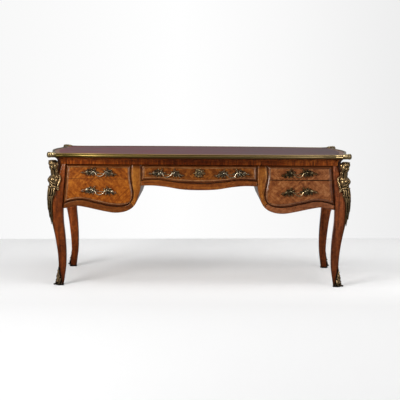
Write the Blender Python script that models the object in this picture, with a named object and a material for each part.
"""A flat-topped writing desk on cabriole legs, in the Louis XV manner.

Two shaped pedestals flank a centre drawer under a bowed leather top. The left pedestal holds
one deep drawer with a sham front of two, and the right one holds two drawers. Gilt bronze
busts, sabots, clasps and drop pulls dress the wood. Metres, +Z up, floor at z = 0, front at -Y.
"""

import math

import bmesh
import bpy
import numpy as np
from mathutils import Matrix

# Overall sizes
DESK_HEIGHT = 0.797
TOP_LENGTH = 1.834
TOP_DEPTH = 0.950
TOP_THICKNESS = 0.0245
END_OVERHANG = 0.075
FRONT_OVERHANG = 0.090

# Clearances
SEAT_GAP = 0.0003
FRONT_GAP = 0.0018
RUNNING_GAP = 0.0006

# The top: bow of its edges, and the rounded ears at its corners
FRONT_BOW = 0.046
END_BOW = 0.039
EAR_RADIUS = 0.031
EAR_END_SETBACK = 0.0225
EAR_FRONT_SETBACK = 0.0205
EAR_NECK = 0.050
NECK_LIFT = 0.0023
EAR_PACE = 0.12
BRASS_WIDTH = 0.0135
BRASS_LIP = 0.0020
LEATHER_THICKNESS = 0.0015
LEATHER_BORDER = 0.030
CLASP_THICKNESS = 0.011
CLASP_RISE = 0.009
CLASP_DROP = 0.006
CLASP_LAP = 0.016
CLASP_REACH = 0.058
CLASP_FADE = 0.45

# The coved frieze rail under the top
FRIEZE_HEIGHT = 0.0417
FRIEZE_PROUD = 0.004
FRIEZE_FLARE = 0.013
FRIEZE_RAIL = 0.060

# Carcase
KNEEHOLE_HALF = 0.348
PEDESTAL_DROP = 0.288
CENTRE_DROP = 0.150
END_DROP = 0.272
PANEL_THICKNESS = 0.022
INNER_PANEL_THICKNESS = 0.012
INNER_PANEL_LAP = 0.013
BOARD_THICKNESS = 0.012
LEG_PROUD = 0.003
SPLIT_DROP = 0.0865

# Drawers
BOX_WALL = 0.012
BOX_FLOOR = 0.008
BOX_HEADROOM = 0.016
BOX_BACK_GAP = 0.030
BOX_STILE_GAP = 0.0072
BOX_LEG_GAP = 0.0108
BOX_LID_GAP = 0.0024
RIM_HEIGHT = 0.004
RIM_WIDTH = 0.010
PANEL_BAND = 0.030
PANEL_BEAD = 0.003

# Lock of the centre drawer
LOCK_WIDTH = 0.060
LOCK_HEIGHT = 0.046
LOCK_DEPTH = 0.013
BOLT_WIDTH = 0.022
BOLT_THICKNESS = 0.005
BOLT_HEIGHT = 0.026
BOLT_TRAVEL = 0.009
KEYHOLE_RADIUS = 0.0035
KEYHOLE_SLOT = 0.0023
KEYHOLE_DROP = 0.0105
ESCUTCHEON_WIDTH = 0.054
ESCUTCHEON_HEIGHT = 0.050
ESCUTCHEON_LOBES = 7
SCALLOP = 0.11

# Drop pulls
PULL_POST_HALF = 0.041
PULL_OUTER_REACH = 0.120
PULL_INNER_REACH = 0.100
PULL_LEAF_START = 0.0235
PULL_OUTER_HALF_HEIGHT = 0.023
PULL_INNER_HALF_HEIGHT = 0.019
PULL_PLATE = 0.005
STEM_THICKNESS = 0.0025
POST_RADIUS = 0.0055
BAIL_STANDOFF = 0.015
BAIL_RADIUS = 0.0025
BAIL_DROOP = 0.026
BAIL_PIN = 0.0038
UPPER_PULL_DROP = 0.047
LOWER_PULL_DROP = 0.155
CENTRE_PULL_DROP = 0.050
CENTRE_PULL_INSET = 0.158
PULL_SHIFT = 0.009

# Bronze mounts on the legs
SABOT_WALL = 0.0035
SABOT_RIM = 0.056
SABOT_LEAF = 0.190
SABOT_SIDE_RIM = 0.070
SABOT_TOE = 0.011
MOUNT_GAP = 0.0006
HEAD_RADIUS = 0.0262
HEAD_REACH = 0.0425

# Levels and planes worked out from the sizes above
CASE_X = TOP_LENGTH / 2 - END_OVERHANG
CASE_Y = TOP_DEPTH / 2 - FRONT_OVERHANG
TOP_UNDER = DESK_HEIGHT - TOP_THICKNESS
FRIEZE_TOP = TOP_UNDER - SEAT_GAP
FRIEZE_BOTTOM = FRIEZE_TOP - FRIEZE_HEIGHT
CASE_TOP = FRIEZE_BOTTOM - SEAT_GAP
PANEL_BACK = CASE_Y - PANEL_THICKNESS
DRAWER_TOP = CASE_TOP - FRONT_GAP
FLOOR_OF_SABOT = SABOT_WALL + MOUNT_GAP
CENTRE_PULL_X = KNEEHOLE_HALF - CENTRE_PULL_INSET

# Cabriole leg: offsets from the carcase corner at shares of the leg's height, floor to case top
LEG_ARRIS = ((0, 0.013), (0.09, 0.0055), (0.17, 0.002), (0.25, 0.005), (0.40, 0.020),
             (0.555, 0.042), (0.68, 0.051), (0.76, 0.046), (0.83, 0.034), (1, 0))
LEG_FACE = ((0, 0.008), (0.09, 0.002), (0.17, -0.001), (0.25, 0.002), (0.40, 0.014),
            (0.555, 0.029), (0.65, 0.033), (0.75, 0.031), (0.83, 0.0245), (0.915, 0.014),
            (1, 0.003))
LEG_INNER = ((0, -0.030), (0.07, -0.037), (0.14, -0.044), (0.27, -0.047), (0.43, -0.041),
             (0.53, -0.034), (0.66, -0.033), (0.83, -0.041), (1, -0.0475))
LEG_CANT = ((0, 0.016), (0.10, 0.010), (0.25, 0.010), (0.45, 0.014), (0.60, 0.022), (1, 0.022))
LEG_INNER_CANT = 0.010
FACE_SAG = 0.002
ANKLE = 0.28

# Outlines as (share across, share down): the pedestal's lower edge and its drawer's edge run from
# the kneehole to the leg, and the others from the middle of their side to its end
PEDESTAL_EDGE = ((0, 0), (0, 0.25), (0, 0.455), (0.012, 0.56), (0.0317, 0.666), (0.072, 0.828),
                 (0.125, 0.914), (0.190, 0.966), (0.322, 1.0), (0.470, 0.969), (0.597, 0.926),
                 (0.726, 0.883), (0.842, 0.862), (0.9185, 0.893), (1, 0.914))
DRAWER_EDGE = ((0.122, 0), (0.128, 0.225), (0.112, 0.40), (0.092, 0.58), (0.098, 0.694),
               (0.130, 0.78), (0.190, 0.845), (0.285, 0.872), (0.3915, 0.862), (0.582, 0.797),
               (0.789, 0.738), (0.910, 0.766), (1, 0.818))
CENTRE_DRAWER_EDGE = ((0, 0.742), (0.35, 0.705), (0.73, 0.598), (0.90, 0.615), (1, 0.64))
CENTRE_APRON_EDGE = ((0, 1.0), (0.29, 0.975), (0.58, 0.873), (0.78, 0.829), (1, 0.835))
END_EDGE = ((0, 1.0), (0.30, 0.97), (0.62, 0.90), (0.82, 0.885), (1, 0.92))
EDGE_TURN = 0.872
DRAWER_TURN = 0.78

# Bow of the top's edges as (share of the half length, share of the bow lost)
FRONT_BOW_SHAPE = ((0.36, 0.14), (0.65, 0.56))
END_BOW_SHAPE = ((0.22, 0.15), (0.43, 0.56))

# Section of the brass edge as (share of its width inwards, share of its height)
BRASS_SECTION = ((1, 0), (0.55, 0), (0.35, 0.18), (0.12, 0.45), (0, 0.70), (0.18, 0.90), (0.5, 1), (1, 1))

# Outer side of a corner clasp as (share of its thickness outwards, share of its height)
CLASP_SECTION = ((0.45, 0), (0.9, 0.2), (1, 0.5), (0.85, 0.8), (0.3, 1))

# The head of a bust, free of the leg: height over the case top, lean of its axis in metres, and
# half width and half depth as shares of the head's radius
HEAD_SECTIONS = ((0.027, 0.0, 0.35, 0.35), (0.021, 0.0, 0.80, 0.80), (0.006, 0.0, 1.0, 1.0),
                 (-0.012, 0.0, 0.95, 1.0), (-0.028, 0.001, 0.70, 0.82), (-0.038, -0.004, 0.48, 0.50),
                 (-0.050, -0.009, 0.55, 0.55))
# The draped body on the leg: drop below the case top, half width, depth from the leg
BODY_SECTIONS = ((0.062, 0.028, 0.042), (0.078, 0.037, 0.046), (0.096, 0.037, 0.043),
                 (0.115, 0.034, 0.034), (0.132, 0.030, 0.027), (0.150, 0.029, 0.023),
                 (0.168, 0.027, 0.020), (0.205, 0.022, 0.016), (0.255, 0.017, 0.012),
                 (0.305, 0.011, 0.009), (0.345, 0.004, 0.006))
BACK_WIDTH = 0.72
ARC = np.radians(np.linspace(-90, 90, 7))

FINISHES = {
    "veneer": ((0.32, 0.13, 0.045, 1), 0.30, 0.0),
    "leg wood": ((0.17, 0.055, 0.022, 1), 0.28, 0.0),
    "oak": ((0.40, 0.26, 0.13, 1), 0.60, 0.0),
    "leather": ((0.17, 0.035, 0.045, 1), 0.38, 0.0),
    "brass": ((0.55, 0.42, 0.16, 1), 0.30, 1.0),
    "bronze": ((0.30, 0.22, 0.10, 1), 0.38, 1.0),
    "steel": ((0.45, 0.44, 0.42, 1), 0.35, 1.0),
}


# Scene and object helpers


def clear_scene():
    for obj in list(bpy.data.objects):
        bpy.data.objects.remove(obj)


def make_collection(name):
    collection = bpy.data.collections.new(name)
    bpy.context.scene.collection.children.link(collection)
    return collection


def make_material(name, finish):
    colour, roughness, metallic = FINISHES[finish]
    material = bpy.data.materials.new(name)
    material.use_nodes = True
    shader = material.node_tree.nodes["Principled BSDF"]
    shader.inputs["Base Color"].default_value = colour
    shader.inputs["Roughness"].default_value = roughness
    shader.inputs["Metallic"].default_value = metallic
    material.diffuse_color = colour
    return material


def add_object(name, data, finish, parent):
    """Links a mesh as one named piece of the desk with a material of its own."""
    obj = bpy.data.objects.new(name, data)
    DESK.objects.link(obj)
    data.materials.clear()
    data.materials.append(make_material(name, finish))
    obj.parent = parent
    return obj


def add_cutter(name, mesh):
    obj = bpy.data.objects.new(name, mesh)
    CUTTERS.objects.link(obj)
    obj.hide_render = True
    obj.display_type = "WIRE"
    return obj


def add_boolean(obj, other, operation):
    modifier = obj.modifiers.new(operation.title(), "BOOLEAN")
    modifier.operation = operation
    modifier.object = other


def add_empty(name, location, parent=None):
    empty = bpy.data.objects.new(name, None)
    DESK.objects.link(empty)
    empty.location = location
    empty.parent = parent
    return empty


def mesh_from(bm, name):
    """Ends a bmesh as a mesh whose faces point outwards."""
    bmesh.ops.recalc_face_normals(bm, faces=bm.faces[:])
    if bm.calc_volume(signed=True) < 0:
        bmesh.ops.reverse_faces(bm, faces=bm.faces[:])
    mesh = bpy.data.meshes.new(name)
    bm.to_mesh(mesh)
    bm.free()
    return mesh


# Curves and functions through a few chosen points


def hermite(knots, values, at):
    """Cubic through values at knots, with three-point slopes."""
    knots = np.asarray(knots, float)
    values = np.asarray(values, float)
    slopes = np.gradient(values, knots, axis=0)
    left = np.clip(np.searchsorted(knots, at, side="right") - 1, 0, len(knots) - 2)
    width = knots[left + 1] - knots[left]
    s = (np.asarray(at, float) - knots[left]) / width
    if values.ndim > 1:
        s = s[..., None]
        width = width[..., None]
    start = (1 + 2 * s) * (1 - s) ** 2 * values[left] + s * (1 - s) ** 2 * width * slopes[left]
    end = s * s * (3 - 2 * s) * values[left + 1] + s * s * (s - 1) * width * slopes[left + 1]
    return start + end


def lengths_along(points):
    steps = np.linalg.norm(np.diff(points, axis=0), axis=1)
    return np.concatenate([[0.0], np.cumsum(steps)])


def along(points, shares):
    """Points at shares of a polyline's length."""
    reach = lengths_along(points)
    wanted = np.asarray(shares, float) * reach[-1]
    return np.stack([np.interp(wanted, reach, column) for column in points.T], axis=-1)


def smooth(points, count=300):
    """Evenly spaced points on a smooth curve through the given ones."""
    points = np.asarray(points, float)
    knots = lengths_along(points)
    dense = hermite(knots, points, np.linspace(0, knots[-1], 4 * count))
    return along(dense, np.linspace(0, 1, count))


def normals_of(points, closed):
    """Unit normals on the right-hand side of a planar polyline."""
    if closed:
        ahead = np.roll(points, -1, axis=0) - np.roll(points, 1, axis=0)
    else:
        ahead = np.gradient(points, axis=0)
    ahead = ahead / np.linalg.norm(ahead, axis=1)[:, None]
    return np.stack([ahead[:, 1], -ahead[:, 0]], axis=1)


def shifted(points, distance, closed=False):
    """A planar curve moved sideways, to the right of its run."""
    return points + distance * normals_of(points, closed)


def grown(corners, distance):
    """A counter-clockwise polygon with every side moved outwards."""
    before = corners - np.roll(corners, 1, axis=0)
    before = before / np.linalg.norm(before, axis=1)[:, None]
    after = np.roll(before, -1, axis=0)
    out_before = np.stack([before[:, 1], -before[:, 0]], axis=1)
    out_after = np.stack([after[:, 1], -after[:, 0]], axis=1)
    middle = out_before + out_after
    return corners + distance * 2 * middle / (middle * middle).sum(axis=1)[:, None]


# Solids


def loft(name, sections, ring=False):
    """Skin over like-numbered sections, capped at both ends or joined end to end as a ring."""
    bm = bmesh.new()
    rows = [[bm.verts.new(point) for point in section] for section in sections]
    pairs = list(zip(rows, rows[1:]))
    if ring:
        pairs.append((rows[-1], rows[0]))
    for low, high in pairs:
        for i in range(len(low)):
            j = (i + 1) % len(low)
            bm.faces.new((low[i], low[j], high[j], high[i]))
    if not ring:
        bm.faces.new(rows[0])
        bm.faces.new(rows[-1])
    return mesh_from(bm, name)


def block(name, low, high):
    """A box between two corners."""
    bm = bmesh.new()
    low = np.asarray(low)
    high = np.asarray(high)
    bmesh.ops.create_cube(bm, size=1)
    bmesh.ops.scale(bm, vec=high - low, verts=bm.verts)
    bmesh.ops.translate(bm, vec=(low + high) / 2, verts=bm.verts)
    return mesh_from(bm, name)


def rod(name, radius, length, centre, turn, sides=16):
    """A cylinder along Z, turned and then centred."""
    bm = bmesh.new()
    place = Matrix.Translation(centre) @ turn
    bmesh.ops.create_cone(bm, cap_ends=True, segments=sides, radius1=radius, radius2=radius,
                          depth=length, matrix=place)
    return mesh_from(bm, name)


def plate(name, outline, thickness, place):
    """A flat outline as a filled 2D curve of the given thickness, made a mesh at its place."""
    curve = bpy.data.curves.new(name, "CURVE")
    curve.dimensions = "2D"
    curve.fill_mode = "BOTH"
    curve.extrude = thickness / 2
    spline = curve.splines.new("POLY")
    spline.points.add(len(outline) - 1)
    for point, (x, y) in zip(spline.points, outline):
        point.co = (x, y, 0, 1)
    spline.use_cyclic_u = True
    obj = bpy.data.objects.new(name, curve)
    CUTTERS.objects.link(obj)
    bpy.context.view_layer.update()
    evaluated = obj.evaluated_get(bpy.context.evaluated_depsgraph_get())
    bm = bmesh.new()
    bm.from_mesh(bpy.data.meshes.new_from_object(evaluated))
    bpy.data.objects.remove(obj)
    bmesh.ops.remove_doubles(bm, verts=bm.verts, dist=0.00005)
    bmesh.ops.transform(bm, matrix=place, verts=bm.verts)
    return mesh_from(bm, name)


def upright(depth):
    """Stands a flat outline up, its second axis along +Z, centred at a depth along Y."""
    return Matrix.Translation((0, depth, 0)) @ Matrix.Rotation(math.pi / 2, 4, "X")


def coons(bottom, top, left, right, us, vs):
    """Grid of points inside four edges: bottom and top run left to right, the others upwards."""
    b, t = along(bottom, us)[None], along(top, us)[None]
    l, r = along(left, vs)[:, None], along(right, vs)[:, None]
    u, v = np.asarray(us)[None, :, None], np.asarray(vs)[:, None, None]
    corners = (1 - v) * ((1 - u) * bottom[0] + u * bottom[-1]) + v * ((1 - u) * top[0] + u * top[-1])
    return (1 - v) * b + v * t + (1 - u) * l + u * r - corners


def ring_shares(length, rings, cells):
    """Shares across a panel: the steps of its border from each end, and even cells between."""
    steps = [distance / length for distance, _ in rings]
    middle = np.linspace(steps[-1], 1 - steps[-1], cells + 1)[1:-1]
    return np.concatenate([steps, middle, [1 - step for step in reversed(steps)]])


def panel(name, edges, rings, cells, to_world, face, back):
    """A shaped board: swelling outside with a moulded border, and a flat back."""
    bottom, top, left, right = edges
    us = ring_shares(lengths_along(bottom)[-1], rings, cells[0])
    vs = ring_shares(lengths_along(left)[-1], rings, cells[1])
    heights = [height for _, height in rings]
    grid = coons(bottom, top, left, right, us, vs)
    bm = bmesh.new()
    made = bmesh.ops.create_grid(bm, x_segments=len(us) - 1, y_segments=len(vs) - 1, size=0.5)
    front = {}
    for vert in made["verts"]:
        i = round((vert.co.x + 0.5) * (len(us) - 1))
        j = round((vert.co.y + 0.5) * (len(vs) - 1))
        ring = min(i, j, len(us) - 1 - i, len(vs) - 1 - j, len(rings) - 1)
        a, z = grid[j, i]
        front[vert] = (a, z, face(z) + heights[ring])
    flat = extrude_to_back(bm, front, to_world, back)
    bmesh.ops.dissolve_limit(bm, angle_limit=0.001, verts=[], edges=flat)
    return mesh_from(bm, name)


def extrude_to_back(bm, front, to_world, back):
    """Places the front points, and extrudes their faces to a flat back. Returns the back's edges."""
    faces = bm.faces[:]
    made = bmesh.ops.extrude_face_region(bm, geom=faces, use_keep_orig=True)["geom"]
    rear = [item for item in made if isinstance(item, bmesh.types.BMVert)]
    by_place = {tuple(round(c, 6) for c in vert.co): spot for vert, spot in front.items()}
    for vert in rear:
        a, z, _ = by_place[tuple(round(c, 6) for c in vert.co)]
        vert.co = to_world(a, z, back)
    for vert, (a, z, height) in front.items():
        vert.co = to_world(a, z, height)
    rear = set(rear)
    return [edge for edge in bm.edges if set(edge.verts) <= rear]


def strip(name, first, second, count, to_world, face, back):
    """A shaped band between two edges that run the same way."""
    shares = np.linspace(0, 1, count + 1)
    across = np.array([0.0, 0.5, 1.0])
    ends = (np.array([first[0], second[0]]), np.array([first[-1], second[-1]]))
    edges = (ends[0], ends[1], first, second)
    grid = coons(*edges, across, shares)
    bm = bmesh.new()
    made = bmesh.ops.create_grid(bm, x_segments=2, y_segments=count, size=0.5)
    front = {}
    for vert in made["verts"]:
        a, z = grid[round((vert.co.y + 0.5) * count), round((vert.co.x + 0.5) * 2)]
        front[vert] = (a, z, face(z))
    flat = extrude_to_back(bm, front, to_world, back)
    bmesh.ops.dissolve_limit(bm, angle_limit=0.001, verts=[], edges=flat)
    return mesh_from(bm, name)


def tray(name, low, high):
    """An open-topped drawer box: a block whose top is inset and pressed down to its floor."""
    bm = bmesh.new()
    low = np.asarray(low)
    high = np.asarray(high)
    bmesh.ops.create_cube(bm, size=1)
    bmesh.ops.scale(bm, vec=high - low, verts=bm.verts)
    bmesh.ops.translate(bm, vec=(low + high) / 2, verts=bm.verts)
    lid = max(bm.faces, key=lambda face: face.calc_center_median().z)
    bmesh.ops.inset_region(bm, faces=[lid], thickness=BOX_WALL, use_even_offset=True)
    made = bmesh.ops.extrude_discrete_faces(bm, faces=[lid])["faces"]
    bmesh.ops.translate(bm, vec=(0, 0, BOX_FLOOR - (high - low)[2]), verts=made[0].verts)
    return mesh_from(bm, name)


# Shape of the cabriole leg, read straight between its stations so that mounts seat on its facets

LEG_STATIONS = np.concatenate([
    np.linspace(FLOOR_OF_SABOT, ANKLE * CASE_TOP, 9)[:-1],
    np.linspace(ANKLE * CASE_TOP, CASE_TOP, 13),
])


def leg_line(stations):
    shares, offsets = zip(*stations)
    values = hermite(shares, offsets, LEG_STATIONS / CASE_TOP)
    return lambda z: np.interp(z, LEG_STATIONS, values)


leg_arris = leg_line(LEG_ARRIS)
leg_face = leg_line(LEG_FACE)
leg_inner = leg_line(LEG_INNER)
leg_cant = leg_line(LEG_CANT)


def leg_section(z, grow=0.0):
    """Corners of the leg at a height, as offsets from the carcase corner, counter-clockwise."""
    arris, face, inner, cant = leg_arris(z), leg_face(z), leg_inner(z), leg_cant(z)
    half = [
        (inner + LEG_INNER_CANT, inner),
        (face, inner),
        ((face + arris) / 2 - FACE_SAG, (inner + arris - cant) / 2),
        (arris, arris - cant),
    ]
    mirrored = [(v, u) for u, v in reversed(half)]
    return grown(np.array(half + mirrored), grow)


def swell(z):
    """How far the carcase stands out beyond its top at a height."""
    return leg_face(z) - LEG_PROUD


def corner_world(side_x, side_y, offsets, z):
    """Offsets from a carcase corner as points in the room."""
    x = side_x * (CASE_X + offsets[:, 0])
    y = side_y * (CASE_Y + offsets[:, 1])
    return np.stack([x, y, np.broadcast_to(z, len(offsets))], axis=1)


# Outlines in the plane of the front, for the right-hand pedestal

apron_end = CASE_TOP - PEDESTAL_DROP * np.linspace(DRAWER_EDGE[-1][1], PEDESTAL_EDGE[-1][1], 9)
PEDESTAL_END = CASE_X + float(leg_inner(apron_end).min()) - SEAT_GAP


def pedestal_outline(shares):
    across, down = np.array(shares, float).T
    x = KNEEHOLE_HALF + across * (PEDESTAL_END - KNEEHOLE_HALF)
    outline = smooth(np.stack([x, CASE_TOP - down * PEDESTAL_DROP], axis=1))
    return np.maximum(outline, (KNEEHOLE_HALF, 0))


def mirrored_outline(shares, half, drop):
    """An outline through both halves of a side, from -half to +half."""
    across, down = np.array(shares, float).T
    right = np.stack([across * half, CASE_TOP - down * drop], axis=1)
    left = right[:0:-1] * (-1, 1)
    return smooth(np.concatenate([left, right]))


def cut_at(outline, drop):
    """Splits a falling outline where it first passes a drop below the case top."""
    index = int(np.argmax(outline[:, 1] < CASE_TOP - drop))
    return outline[: index + 1], outline[index:]


def level(x0, x1, z):
    return np.array([(x0, z), (x1, z)])


def leg_edge(z0, z1, gap):
    """The edge beside the leg, from one height to another."""
    z = np.linspace(z0, z1, 12)
    return np.stack([CASE_X + leg_inner(z) - gap, z], axis=1)


pedestal_edge = pedestal_outline(PEDESTAL_EDGE)
drawer_edge = pedestal_outline(DRAWER_EDGE)
stile_outer, apron_lower = cut_at(pedestal_edge, EDGE_TURN * PEDESTAL_DROP)
stile_inner, apron_upper = cut_at(drawer_edge, DRAWER_TURN * PEDESTAL_DROP)

DRAWER_RINGS = ((0, 0), (RIM_WIDTH / 4, RIM_HEIGHT), (RIM_WIDTH * 2 / 3, RIM_HEIGHT), (RIM_WIDTH, 0))
PANEL_RINGS = ((0, 0), (PANEL_BAND, 0), (PANEL_BAND + 2 * PANEL_BEAD, PANEL_BEAD),
               (PANEL_BAND + 4 * PANEL_BEAD, 0))


def on_front(side):
    """Front plane of the desk, mirrored left for side -1."""
    return lambda a, z, height: (side * a, -(CASE_Y + height), z)


def on_back(side):
    return lambda a, z, height: (side * a, CASE_Y + height, z)


def on_end(side):
    return lambda a, z, height: (side * (CASE_X + height), a, z)


# The carcase


def build_legs(carcase):
    for corner, (side_x, side_y) in CORNERS.items():
        sections = [corner_world(side_x, side_y, leg_section(z), z) for z in LEG_STATIONS]
        add_object("leg_" + corner, loft("leg", sections), "leg wood", carcase)


def build_front_frame(carcase):
    for name, side in SIDES.items():
        stile = strip("stile", stile_outer, stile_inner, 14, on_front(side), swell, -PANEL_THICKNESS)
        add_object("front_stile_" + name, stile, "veneer", carcase)
        lower = shorten(apron_lower, SEAT_GAP)
        upper = shorten(apron_upper, SEAT_GAP)
        apron = strip("apron", lower, upper, 14, on_front(side), swell, -PANEL_THICKNESS)
        add_object("front_apron_" + name, apron, "veneer", carcase)
    half = KNEEHOLE_HALF - SEAT_GAP
    lower = mirrored_outline(CENTRE_APRON_EDGE, half, CENTRE_DROP)
    upper = mirrored_outline(CENTRE_DRAWER_EDGE, half, CENTRE_DROP)
    apron = strip("apron", lower, upper, 16, on_front(1), swell, -PANEL_THICKNESS)
    add_object("front_apron_centre", apron, "veneer", carcase)


def shorten(outline, gap):
    """Takes a gap off the start of an outline."""
    return along(outline, np.linspace(gap / lengths_along(outline)[-1], 1, len(outline)))


def build_back(carcase):
    for name, side in SIDES.items():
        end = leg_edge(apron_lower[-1, 1], CASE_TOP, SEAT_GAP + FACE_SAG / 4)
        edges = (apron_lower, level(stile_outer[0, 0], end[-1, 0], CASE_TOP), stile_outer[::-1], end)
        board = panel("back", edges, PANEL_RINGS, (8, 5), on_back(side), swell, -PANEL_THICKNESS)
        add_object("back_panel_" + name, board, "veneer", carcase)
    half = KNEEHOLE_HALF - SEAT_GAP
    lower = mirrored_outline(CENTRE_APRON_EDGE, half, CENTRE_DROP)
    sides = [np.array([(x, lower[0, 1]), (x, CASE_TOP)]) for x in (-half, half)]
    edges = (lower, level(-half, half, CASE_TOP), *sides)
    board = panel("back", edges, PANEL_RINGS, (12, 2), on_back(1), swell, -PANEL_THICKNESS)
    add_object("back_panel_centre", board, "veneer", carcase)


def build_ends(carcase):
    low = CASE_TOP - END_EDGE[-1][1] * END_DROP
    z = np.linspace(low, CASE_TOP, 12)
    half = CASE_Y + leg_inner(z) - SEAT_GAP - FACE_SAG / 4
    right = np.stack([half, z], axis=1)
    lower = mirrored_outline(END_EDGE, half[0], END_DROP)
    edges = (lower, level(-half[-1], half[-1], CASE_TOP), right * (-1, 1), right)
    for name, side in SIDES.items():
        board = panel("end", edges, PANEL_RINGS, (10, 5), on_end(side), swell, -PANEL_THICKNESS)
        add_object("end_panel_" + name, board, "veneer", carcase)


def build_inner_panels(carcase):
    """Bent boards that close the pedestals towards the kneehole."""
    tuck, _ = cut_at(pedestal_edge, PEDESTAL_DROP - INNER_PANEL_LAP)
    outer = along(tuck, np.linspace(0, 1, 22))
    inner = shifted(outer, -INNER_PANEL_THICKNESS)
    inner[0, 1] = outer[0, 1]
    outline = np.concatenate([outer, inner[::-1]])
    for name, side in SIDES.items():
        length = 2 * (PANEL_BACK - SEAT_GAP)
        board = plate("inner", outline * (side, 1), length, upright(0))
        add_object("inner_panel_" + name, board, "veneer", carcase)


def inner_panel_face(z):
    """X of the pedestal side of the inner panel at a height."""
    falling, _ = cut_at(pedestal_edge, PEDESTAL_DROP - INNER_PANEL_LAP)
    inner = shifted(falling[:-1], -INNER_PANEL_THICKNESS)
    return float(np.interp(-z, -inner[:, 1], inner[:, 0]))


# Boards that the drawers run on, under the left, right lower, right upper and centre drawers
PEDESTAL_BED_TOP = CASE_TOP - PEDESTAL_DROP * min(down for _, down in DRAWER_EDGE[6:]) + FRONT_GAP
DIVIDER_TOP = CASE_TOP - SPLIT_DROP + BOARD_THICKNESS / 2
CENTRE_BED_TOP = CASE_TOP - CENTRE_DROP * min(down for _, down in CENTRE_DRAWER_EDGE) + FRONT_GAP
BED_HALF_DEPTH = PANEL_BACK - SEAT_GAP


def build_beds(carcase):
    for name, side, top in (
        ("pedestal_bed_left", -1, PEDESTAL_BED_TOP),
        ("pedestal_bed_right", 1, PEDESTAL_BED_TOP),
        ("right_drawer_divider", 1, DIVIDER_TOP),
    ):
        low = top - BOARD_THICKNESS
        start = max(inner_panel_face(low), inner_panel_face(top)) + SEAT_GAP
        end = CASE_X + float(min(leg_inner(low), leg_inner(top))) - SEAT_GAP
        ends = sorted((side * start, side * end))
        board = block("bed", (ends[0], -BED_HALF_DEPTH, low), (ends[1], BED_HALF_DEPTH, top))
        add_object(name, board, "oak", carcase)
    half = KNEEHOLE_HALF - SEAT_GAP
    low = CENTRE_BED_TOP - BOARD_THICKNESS
    board = block("bed", (-half, -BED_HALF_DEPTH, low), (half, BED_HALF_DEPTH, CENTRE_BED_TOP))
    add_object("centre_bed", board, "oak", carcase)


def canted_rectangle(half_x, half_y, cant):
    quarter = np.array([(half_x, half_y - cant), (half_x - cant, half_y)])
    half = np.concatenate([quarter, quarter[::-1] * (-1, 1)])
    return np.concatenate([half, -half])


def build_frieze(carcase):
    """Coved rail all round, canted over the legs, with a mortise for the lock's bolt."""
    cant = LEG_CANT[-1][1]
    cove = FRIEZE_PROUD + FRIEZE_FLARE
    profile = [(FRIEZE_PROUD, FRIEZE_BOTTOM), (FRIEZE_PROUD, FRIEZE_BOTTOM + FRIEZE_HEIGHT / 6)]
    for step in range(1, 5):
        turn = step / 4 * math.pi / 2
        rise = FRIEZE_HEIGHT * (1 / 6 + math.sin(turn) * 2 / 3)
        profile.append((FRIEZE_PROUD + FRIEZE_FLARE * (1 - math.cos(turn)), FRIEZE_BOTTOM + rise))
    profile += [(cove, FRIEZE_TOP), (-FRIEZE_RAIL, FRIEZE_TOP), (-FRIEZE_RAIL, FRIEZE_BOTTOM)]
    sections = []
    for out, z in profile:
        outline = canted_rectangle(CASE_X + out, CASE_Y + out, cant if out > 0 else cant / 2)
        sections.append(np.column_stack([outline, np.full(len(outline), z)]))
    frieze = add_object("frieze_rail", loft("frieze", sections, ring=True), "veneer", carcase)
    room = 2 * RUNNING_GAP
    half = (BOLT_WIDTH / 2 + room, BOLT_THICKNESS / 2 + room)
    mortise = block(
        "mortise",
        (-half[0], BOLT_Y - half[1], FRIEZE_BOTTOM - BOLT_TRAVEL),
        (half[0], BOLT_Y + half[1], FRIEZE_BOTTOM + BOLT_TRAVEL + room),
    )
    add_boolean(frieze, add_cutter("bolt_mortise", mortise), "DIFFERENCE")


# The top


def top_outline(count=72):
    """Plan of the top over its brass: bowed sides that draw in to a neck beside each eared corner."""
    half = np.array([TOP_LENGTH / 2, TOP_DEPTH / 2])
    centre = half - (EAR_END_SETBACK, EAR_FRONT_SETBACK) - EAR_RADIUS
    turns = np.radians([100, 72, 45, 18, -10])
    ear = [centre + EAR_RADIUS * np.array([math.cos(a), math.sin(a)]) for a in turns]
    neck = half - (END_BOW, FRONT_BOW)
    front = [(0, half[1])]
    front += [(half[0] * at, half[1] - FRONT_BOW * lost) for at, lost in FRONT_BOW_SHAPE]
    front += [(ear[0][0] - 2 * EAR_NECK, neck[1]), (ear[0][0] - EAR_NECK, neck[1] + NECK_LIFT)]
    side = [(neck[0], ear[-1][1] - EAR_NECK), (neck[0], ear[-1][1] - 2 * EAR_NECK)]
    side += [(half[0] - END_BOW * lost, half[1] * at) for at, lost in reversed(END_BOW_SHAPE)]
    side += [(half[0], 0)]
    quarter = np.array(front + ear + side)
    half = np.concatenate([quarter, quarter[-2::-1] * (1, -1)])
    whole = np.concatenate([half, half[-2:0:-1] * (-1, 1)])
    closed = np.concatenate([whole[-4:], whole, whole[:5]])
    knots = lengths_along(closed)
    dense = hermite(knots, closed, np.linspace(knots[4], knots[4 + len(whole)], 2000))
    return shares_with_ears(dense, count)


def shares_with_ears(dense, count):
    """Fewer points on the long bowed sides and more round the ears."""
    turn = np.unwrap(np.arctan2(*np.gradient(dense, axis=0).T[::-1]))
    reach = lengths_along(dense)
    pace = reach / reach[-1] + EAR_PACE * np.concatenate([[0], np.cumsum(np.abs(np.diff(turn)))])
    wanted = np.linspace(0, pace[-1], count + 1)[:-1]
    return np.stack([np.interp(wanted, pace, column) for column in dense.T], axis=1)


def ring_at(outline, out, z):
    points = shifted(outline, -out, closed=True)
    return np.column_stack([points, np.full(len(points), z)])


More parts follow.
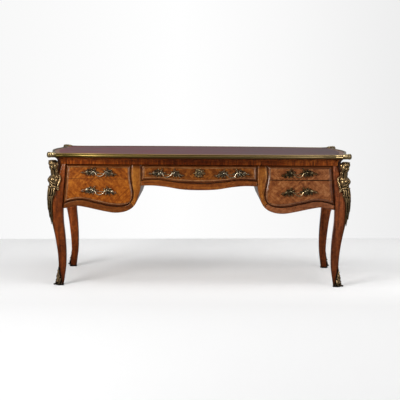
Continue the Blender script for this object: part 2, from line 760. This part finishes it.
def build_top(carcase):
    outline = top_outline()
    board_top = DESK_HEIGHT - BRASS_LIP - LEATHER_THICKNESS - SEAT_GAP
    board_edge = shifted(outline, BRASS_WIDTH + SEAT_GAP, closed=True)
    middle = Matrix.Translation((0, 0, (TOP_UNDER + board_top) / 2))
    add_object("top_board", plate("top", board_edge, board_top - TOP_UNDER, middle), "veneer", carcase)
    leather_edge = shifted(outline, BRASS_WIDTH + SEAT_GAP + LEATHER_BORDER, closed=True)
    middle = Matrix.Translation((0, 0, board_top + SEAT_GAP + LEATHER_THICKNESS / 2))
    leather = plate("leather", leather_edge, LEATHER_THICKNESS, middle)
    add_object("leather_panel", leather, "leather", carcase)
    sections = []
    for inwards, rise in BRASS_SECTION:
        sections.append(ring_at(outline, -inwards * BRASS_WIDTH, TOP_UNDER + rise * TOP_THICKNESS))
    add_object("brass_edge", loft("brass", sections, ring=True), "brass", carcase)
    build_clasps(outline, carcase)


def build_clasps(outline, carcase):
    """Cast corners that grip the ears of the top and lap over its lip."""
    low, high = TOP_UNDER - CLASP_DROP, DESK_HEIGHT + CLASP_RISE
    lip = DESK_HEIGHT + SEAT_GAP
    tall = high - low
    profile = [(SEAT_GAP, TOP_UNDER)]
    profile += [(CLASP_THICKNESS * out, low + tall * rise) for out, rise in CLASP_SECTION]
    profile += [(-CLASP_LAP * 0.8, high), (-CLASP_LAP, lip + CLASP_RISE * 0.3), (-CLASP_LAP, lip)]
    profile += [(SEAT_GAP, lip)]
    outward = -normals_of(outline, True)
    for corner, (side_x, side_y) in CORNERS.items():
        tip = np.argmax(outline @ (side_x, side_y))
        around = np.roll(np.arange(len(outline)), len(outline) // 2 - tip)
        reach = lengths_along(outline[around])
        reach = (reach - reach[len(outline) // 2]) / CLASP_REACH
        sections = []
        for at, share in zip(around, reach):
            if abs(share) > 1:
                continue
            fade = 1 - CLASP_FADE * share ** 2
            section = []
            for r, z in profile:
                out = SEAT_GAP + (r - SEAT_GAP) * fade if r > 0 else r * fade
                rise = lip + (z - lip) * (fade if z > lip else 1)
                section.append((*(outline[at] + out * outward[at]), rise))
            sections.append(section)
        add_object("top_clasp_" + corner, loft("clasp", sections), "bronze", carcase)


# Bronze mounts on the legs


def diagonal_world(side_x, side_y, points, z):
    """Points given sideways and outwards on a corner's diagonal, as points in the room."""
    sideways, outwards = np.asarray(points).T
    offsets = np.stack([outwards - sideways, outwards + sideways], axis=1) / math.sqrt(2)
    return corner_world(side_x, side_y, offsets, z)


def seat_of_mount(z):
    """Distance of the leg's canted arris from the carcase corner, on the diagonal."""
    return math.sqrt(2) * (leg_arris(z) - leg_cant(z) / 2) + MOUNT_GAP


def rounded_section(half_width, centre, front, back, corner):
    """Round towards the room, and narrower towards the leg, its back corners set at a depth."""
    points = [(half_width * math.sin(a), centre + (front - centre) * math.cos(a)) for a in ARC]
    half_back = BACK_WIDTH * half_width
    return points + [(half_back, corner), (0, back), (-half_back, corner)]


def build_busts(carcase):
    drops, widths, depths = np.array(BODY_SECTIONS).T
    inside = [CASE_TOP - z for z in LEG_STATIONS if drops[0] < CASE_TOP - z < drops[-1]]
    levels = sorted(set(np.round(np.concatenate([drops, inside]), 6)))
    for corner, (side_x, side_y) in CORNERS.items():
        sections = []
        for rise, lean, width, depth in HEAD_SECTIONS:
            centre = HEAD_REACH + lean
            half = HEAD_RADIUS * depth
            back = centre - half
            shape = rounded_section(HEAD_RADIUS * width, centre, centre + half, back, back + half / 4)
            sections.append(diagonal_world(side_x, side_y, shape, CASE_TOP + rise))
        for drop in levels:
            z = CASE_TOP - drop
            seat = float(seat_of_mount(z))
            front = seat + float(hermite(drops, depths, np.array(drop)))
            half = float(hermite(drops, widths, np.array(drop)))
            shape = rounded_section(half, seat + 0.3 * (front - seat), front, seat, seat)
            sections.append(diagonal_world(side_x, side_y, shape, z))
        add_object("bust_" + corner, loft("bust", sections), "bronze", carcase)


def build_sabots(carcase):
    """Cast shoes: a cup round the foot with an outward toe and a leaf that climbs the arris."""
    rims = np.array([SABOT_RIM, SABOT_RIM, SABOT_SIDE_RIM, SABOT_LEAF])
    rims = np.concatenate([rims, rims[::-1]])
    shares = np.array([0.0, 0.10, 0.25, 0.5, 0.75, 1.0])
    toe = np.array([0, 0, 0.25, 1, 1, 0.25, 0, 0])
    for corner, (side_x, side_y) in CORNERS.items():
        sections = []
        for share in shares:
            heights = share * rims
            grow = MOUNT_GAP + SABOT_WALL * (1 - 0.6 * share)
            kick = SABOT_TOE * max(0.0, 1 - share / 0.22)
            sections.append(sabot_ring(side_x, side_y, heights, grow, toe * kick))
        for share in shares[:0:-1]:
            heights = FLOOR_OF_SABOT - MOUNT_GAP + (rims - FLOOR_OF_SABOT + MOUNT_GAP) * share
            sections.append(sabot_ring(side_x, side_y, heights, MOUNT_GAP, toe * 0))
        heights = np.full(len(rims), FLOOR_OF_SABOT - MOUNT_GAP)
        sections.append(sabot_ring(side_x, side_y, heights, MOUNT_GAP, toe * 0))
        add_object("sabot_" + corner, loft("sabot", sections), "bronze", carcase)


def sabot_ring(side_x, side_y, heights, grow, kick):
    """One ring of the shoe, each corner at its own height on the leg."""
    rows = []
    for i, z in enumerate(heights):
        offset = leg_section(max(z, FLOOR_OF_SABOT), grow)[i] + kick[i] / math.sqrt(2)
        rows.append(corner_world(side_x, side_y, offset[None], z)[0])
    return np.array(rows)


# Drawers


def build_drawer(name, edges, cells, side, box, carcase):
    """A drawer: a shaped, rimmed front fixed to an open box. Returns its empty, front and box."""
    empty = add_empty(name, (0, 0, 0), carcase)
    front = panel("front", edges, DRAWER_RINGS, cells, on_front(side), swell, -PANEL_THICKNESS)
    front = add_object(name + "_front", front, "veneer", empty)
    body = add_object(name + "_box", tray("box", *box), "oak", empty)
    return empty, front, body


BOX_FRONT = -(PANEL_BACK - SEAT_GAP)
BOX_REAR = PANEL_BACK - BOX_BACK_GAP
BOX_TOP = CASE_TOP - BOX_HEADROOM


def pedestal_box(side, low, high):
    """Corners of a pedestal drawer's box, clear of the frame on both sides."""
    inner = float(drawer_edge[: len(drawer_edge) // 3, 0].max()) + BOX_STILE_GAP
    outer = CASE_X + float(leg_inner(CASE_TOP)) - BOX_LEG_GAP
    ends = sorted((side * inner, side * outer))
    return (ends[0], BOX_FRONT, low), (ends[1], BOX_REAR, high)


def drawer_edges(top, bottom=None):
    """Edges of a pedestal drawer front. Without a level bottom it follows the apron."""
    inner = shifted(drawer_edge, -FRONT_GAP)
    turn = len(stile_inner) - 1
    if bottom is None:
        lower = inner[turn:]
        upright_edge = inner[: turn + 1]
    else:
        upright_edge = inner[inner[:, 1] > bottom]
        upright_edge = np.concatenate([upright_edge, [(upright_edge[-1, 0], bottom)]])
        lower = None
    upright_edge = upright_edge[upright_edge[:, 1] < top]
    upright_edge = np.concatenate([[(upright_edge[0, 0], top)], upright_edge])
    low = bottom if lower is None else lower[-1, 1]
    outer = leg_edge(low, top, FRONT_GAP)
    if lower is None:
        lower = level(upright_edge[-1, 0], outer[0, 0], bottom)
    else:
        lower = np.concatenate([lower[lower[:, 0] < outer[0, 0] - FRONT_GAP], outer[:1]])
    return lower, level(upright_edge[0, 0], outer[-1, 0], top), upright_edge[::-1], outer


def build_drawers(carcase):
    """The four drawers with their pulls, and the lock on the centre one."""
    split = CASE_TOP - SPLIT_DROP
    pull_x = (drawer_edge[0, 0] + CASE_X + float(leg_inner(CASE_TOP))) / 2 - PULL_SHIFT
    upper, lower = CASE_TOP - UPPER_PULL_DROP, CASE_TOP - LOWER_PULL_DROP
    bed = PEDESTAL_BED_TOP + RUNNING_GAP
    box = pedestal_box(-1, bed, BOX_TOP)
    left, _, _ = build_drawer("left_drawer", drawer_edges(DRAWER_TOP), (8, 6), -1, box, carcase)
    build_pull("left_upper_pull", -1, -pull_x, upper, left)
    build_pull("left_lower_pull", -1, -pull_x, lower, left)
    box = pedestal_box(1, DIVIDER_TOP + RUNNING_GAP, BOX_TOP)
    edges = drawer_edges(DRAWER_TOP, split + FRONT_GAP / 2)
    right, _, _ = build_drawer("right_upper_drawer", edges, (6, 2), 1, box, carcase)
    build_pull("right_upper_pull", 1, pull_x, upper, right)
    box = pedestal_box(1, bed, DIVIDER_TOP - BOARD_THICKNESS - BOX_LID_GAP)
    edges = drawer_edges(split - FRONT_GAP / 2)
    right, _, _ = build_drawer("right_lower_drawer", edges, (8, 4), 1, box, carcase)
    build_pull("right_lower_pull", 1, pull_x, lower, right)
    build_centre_drawer(carcase)


def build_centre_drawer(carcase):
    half = KNEEHOLE_HALF - FRONT_GAP
    lower = mirrored_outline(CENTRE_DRAWER_EDGE, half, CENTRE_DROP) + (0, FRONT_GAP)
    sides = [np.array([(x, lower[0, 1]), (x, DRAWER_TOP)]) for x in (-half, half)]
    edges = (lower, level(-half, half, DRAWER_TOP), *sides)
    wide = half - BOX_LEG_GAP
    box = ((-wide, BOX_FRONT, CENTRE_BED_TOP + RUNNING_GAP), (wide, BOX_REAR, BOX_TOP))
    empty, front, body = build_drawer("centre_drawer", edges, (12, 2), 1, box, carcase)
    for name, side in SIDES.items():
        build_pull("centre_" + name + "_pull", side, side * CENTRE_PULL_X, KEYHOLE_Z, empty)
    build_lock(front, body, empty)


# Lock

BOLT_Y = BOX_FRONT + BOX_WALL + SEAT_GAP + LOCK_DEPTH / 2
LOCK_TOP = DRAWER_TOP - SEAT_GAP
KEYHOLE_Z = CASE_TOP - CENTRE_PULL_DROP


def keyhole(name, start, end):
    """A round hole over a slot, run through along Y."""
    arc = np.radians(np.linspace(-55, 235, 13))
    outline = [(KEYHOLE_RADIUS * math.cos(a), KEYHOLE_RADIUS * math.sin(a)) for a in arc]
    outline += [(-KEYHOLE_SLOT, -KEYHOLE_DROP), (KEYHOLE_SLOT, -KEYHOLE_DROP)]
    place = Matrix.Translation((0, 0, KEYHOLE_Z)) @ upright((start + end) / 2)
    return add_cutter(name, plate(name, outline, end - start, place))


def build_lock(front, body, empty):
    face = face_depth(KEYHOLE_Z, ESCUTCHEON_HEIGHT / 2)
    hole = keyhole("keyhole", face - 4 * PULL_PLATE, BOX_FRONT + BOX_WALL + SEAT_GAP / 2)
    add_boolean(front, hole, "DIFFERENCE")
    add_boolean(body, hole, "DIFFERENCE")
    turn = np.linspace(0, 2 * math.pi, 5 * ESCUTCHEON_LOBES, endpoint=False)
    scallop = (1 + SCALLOP * np.cos(ESCUTCHEON_LOBES * turn)) / (1 + SCALLOP) / 2
    across = ESCUTCHEON_WIDTH * scallop * np.cos(turn)
    outline = np.stack([across, ESCUTCHEON_HEIGHT * scallop * np.sin(turn)], axis=1)
    mesh = plate("escutcheon", outline, PULL_PLATE, upright(-PULL_PLATE / 2))
    shield = add_object("escutcheon", mesh, "bronze", empty)
    shield.location = (0, face, KEYHOLE_Z)
    shield.rotation_euler.x = face_tilt(KEYHOLE_Z)
    add_boolean(shield, hole, "DIFFERENCE")
    low = (-LOCK_WIDTH / 2, BOLT_Y - LOCK_DEPTH / 2, LOCK_TOP - LOCK_HEIGHT)
    high = (LOCK_WIDTH / 2, BOLT_Y + LOCK_DEPTH / 2, LOCK_TOP)
    case = add_object("lock_case", block("case", low, high), "brass", empty)
    room = RUNNING_GAP
    half = (BOLT_WIDTH / 2, BOLT_THICKNESS / 2)
    slot = block(
        "slot",
        (-half[0] - room, BOLT_Y - half[1] - room, LOCK_TOP - BOLT_HEIGHT - room),
        (half[0] + room, BOLT_Y + half[1] + room, LOCK_TOP + BOLT_TRAVEL),
    )
    add_boolean(case, add_cutter("bolt_slot", slot), "DIFFERENCE")
    bolt = block("bolt", (-half[0], -half[1], -BOLT_HEIGHT), (half[0], half[1], 0))
    bolt = add_object("lock_bolt", bolt, "steel", empty)
    bolt.location = (0, BOLT_Y, LOCK_TOP)


# Pulls


def face_tilt(z):
    """Lean of the front at a height, as a turn about X."""
    step = PULL_INNER_HALF_HEIGHT
    return math.atan((float(swell(z + step)) - float(swell(z - step))) / (2 * step))


def face_depth(z, half_height):
    """Y at which a flat plate of a height lies on the swelling front, leaning with it."""
    rise = np.linspace(-half_height, half_height, 41)
    proud = swell(z + rise) - math.tan(face_tilt(z)) * rise
    return -(CASE_Y + float(proud.max())) - SEAT_GAP / math.cos(face_tilt(z))


def leaf_outline(inner, reach, half_height, lobes):
    """A scalloped leaf cluster from near a post out to its tip."""
    turn = np.linspace(0, 2 * math.pi, 4 * lobes, endpoint=False)
    scallop = 1 - SCALLOP * (1 + np.cos(lobes * turn)) / 2
    taper = 1 - 0.35 * np.maximum(0, np.cos(turn))
    x = (inner + reach) / 2 + (reach - inner) / 2 * np.cos(turn) * scallop
    return np.stack([x, half_height * np.sin(turn) * scallop * taper], axis=1)


def bail_path():
    """Centre line of the bail: in at one post, drooping nearer the outer side, out at the other."""
    p, d = PULL_POST_HALF, BAIL_DROOP
    pin = p + BAIL_PIN
    inside = p - POST_RADIUS - BAIL_RADIUS / 2
    elbow = inside - 2 * BAIL_RADIUS
    route = [(inside, 0), (elbow, -0.24 * d), (0.55 * p, -0.72 * d), (0.20 * p, -d),
             (-0.20 * p, -0.86 * d), (-0.55 * p, -0.50 * d), (-elbow, -0.18 * d), (-inside, 0)]
    return np.concatenate([[(pin, 0)], smooth(route, 15), [(-pin, 0)]])


def pull_meshes():
    """The right-hand pull's plate, with two leaf clusters, a stem and two posts, and its bail."""
    lie = upright(-PULL_PLATE / 2)
    outer = leaf_outline(PULL_LEAF_START, PULL_OUTER_REACH, PULL_OUTER_HALF_HEIGHT, 7)
    small = leaf_outline(PULL_LEAF_START, PULL_INNER_REACH, PULL_INNER_HALF_HEIGHT, 5) * (-1, 1)
    bend = bail_path()
    stem = bend[np.abs(bend[:, 0]) < PULL_POST_HALF][::2]
    band = np.concatenate([shifted(stem, BAIL_RADIUS), shifted(stem, -BAIL_RADIUS)[::-1]])
    base = bpy.data.objects.new("pull_plate", plate("pull_plate", outer, PULL_PLATE, lie))
    CUTTERS.objects.link(base)
    joined = [plate("small_leaf", small[::-1], PULL_PLATE, lie)]
    joined.append(plate("stem", band, STEM_THICKNESS, upright(-PULL_PLATE * 0.3)))
    reach = BAIL_STANDOFF + POST_RADIUS
    outwards = Matrix.Rotation(math.pi / 2, 4, "X")
    for x in (-PULL_POST_HALF, PULL_POST_HALF):
        spot = (x, -(reach + PULL_PLATE / 2) / 2, 0)
        joined.append(rod("post", POST_RADIUS, reach - PULL_PLATE / 2, spot, outwards, 10))
    for mesh in joined:
        add_boolean(base, add_cutter(mesh.name, mesh), "UNION")
    sideways = Matrix.Rotation(math.pi / 2, 4, "Y")
    bore = rod("bore", BAIL_RADIUS + RUNNING_GAP, 4 * PULL_POST_HALF, (0, -BAIL_STANDOFF, 0), sideways, 8)
    add_boolean(base, add_cutter("bail_bore", bore), "DIFFERENCE")
    bpy.context.view_layer.update()
    depsgraph = bpy.context.evaluated_depsgraph_get()
    whole = bpy.data.meshes.new_from_object(base.evaluated_get(depsgraph))
    bpy.data.objects.remove(base)
    return whole, bail_mesh(bend)


def bail_mesh(bend):
    curve = bpy.data.curves.new("bail", "CURVE")
    curve.dimensions = "3D"
    curve.bevel_depth = BAIL_RADIUS
    curve.bevel_resolution = 1
    curve.use_fill_caps = True
    spline = curve.splines.new("POLY")
    spline.points.add(len(bend) - 1)
    for point, (x, z) in zip(spline.points, bend):
        point.co = (x, 0, z, 1)
    obj = bpy.data.objects.new("bail", curve)
    CUTTERS.objects.link(obj)
    bpy.context.view_layer.update()
    evaluated = obj.evaluated_get(bpy.context.evaluated_depsgraph_get())
    bm = bmesh.new()
    bm.from_mesh(bpy.data.meshes.new_from_object(evaluated))
    bpy.data.objects.remove(obj)
    bmesh.ops.remove_doubles(bm, verts=bm.verts, dist=0.00005)
    return mesh_from(bm, "bail")


def handed(mesh, side):
    """A copy of a pull's mesh, mirrored for the left half of the desk."""
    bm = bmesh.new()
    bm.from_mesh(mesh)
    bmesh.ops.scale(bm, vec=(side, 1, 1), verts=bm.verts)
    return mesh_from(bm, mesh.name)


def build_pull(name, side, x, z, drawer):
    """A plate that lies on the drawer front, and a bail that hangs plumb from its posts."""
    tilt = face_tilt(z)
    face = face_depth(z, PULL_OUTER_HALF_HEIGHT)
    fixed = add_object(name + "_plate", handed(PULL_PLATE_MESH, side), "bronze", drawer)
    fixed.location = (x, face, z)
    fixed.rotation_euler.x = tilt
    swing = add_object(name + "_bail", handed(BAIL_MESH, side), "bronze", drawer)
    swing.location = (x, face - BAIL_STANDOFF * math.cos(tilt), z - BAIL_STANDOFF * math.sin(tilt))


# The desk

SIDES = {"left": -1, "right": 1}
CORNERS = {"front_left": (-1, -1), "front_right": (1, -1), "rear_left": (-1, 1), "rear_right": (1, 1)}

clear_scene()
DESK = make_collection("writing_desk")
CUTTERS = make_collection("cutters")
PULL_PLATE_MESH, BAIL_MESH = pull_meshes()

desk = add_empty("carcase", (0, 0, 0))
build_legs(desk)
build_front_frame(desk)
build_back(desk)
build_ends(desk)
build_inner_panels(desk)
build_beds(desk)
build_frieze(desk)
build_top(desk)
build_busts(desk)
build_sabots(desk)
build_drawers(desk)
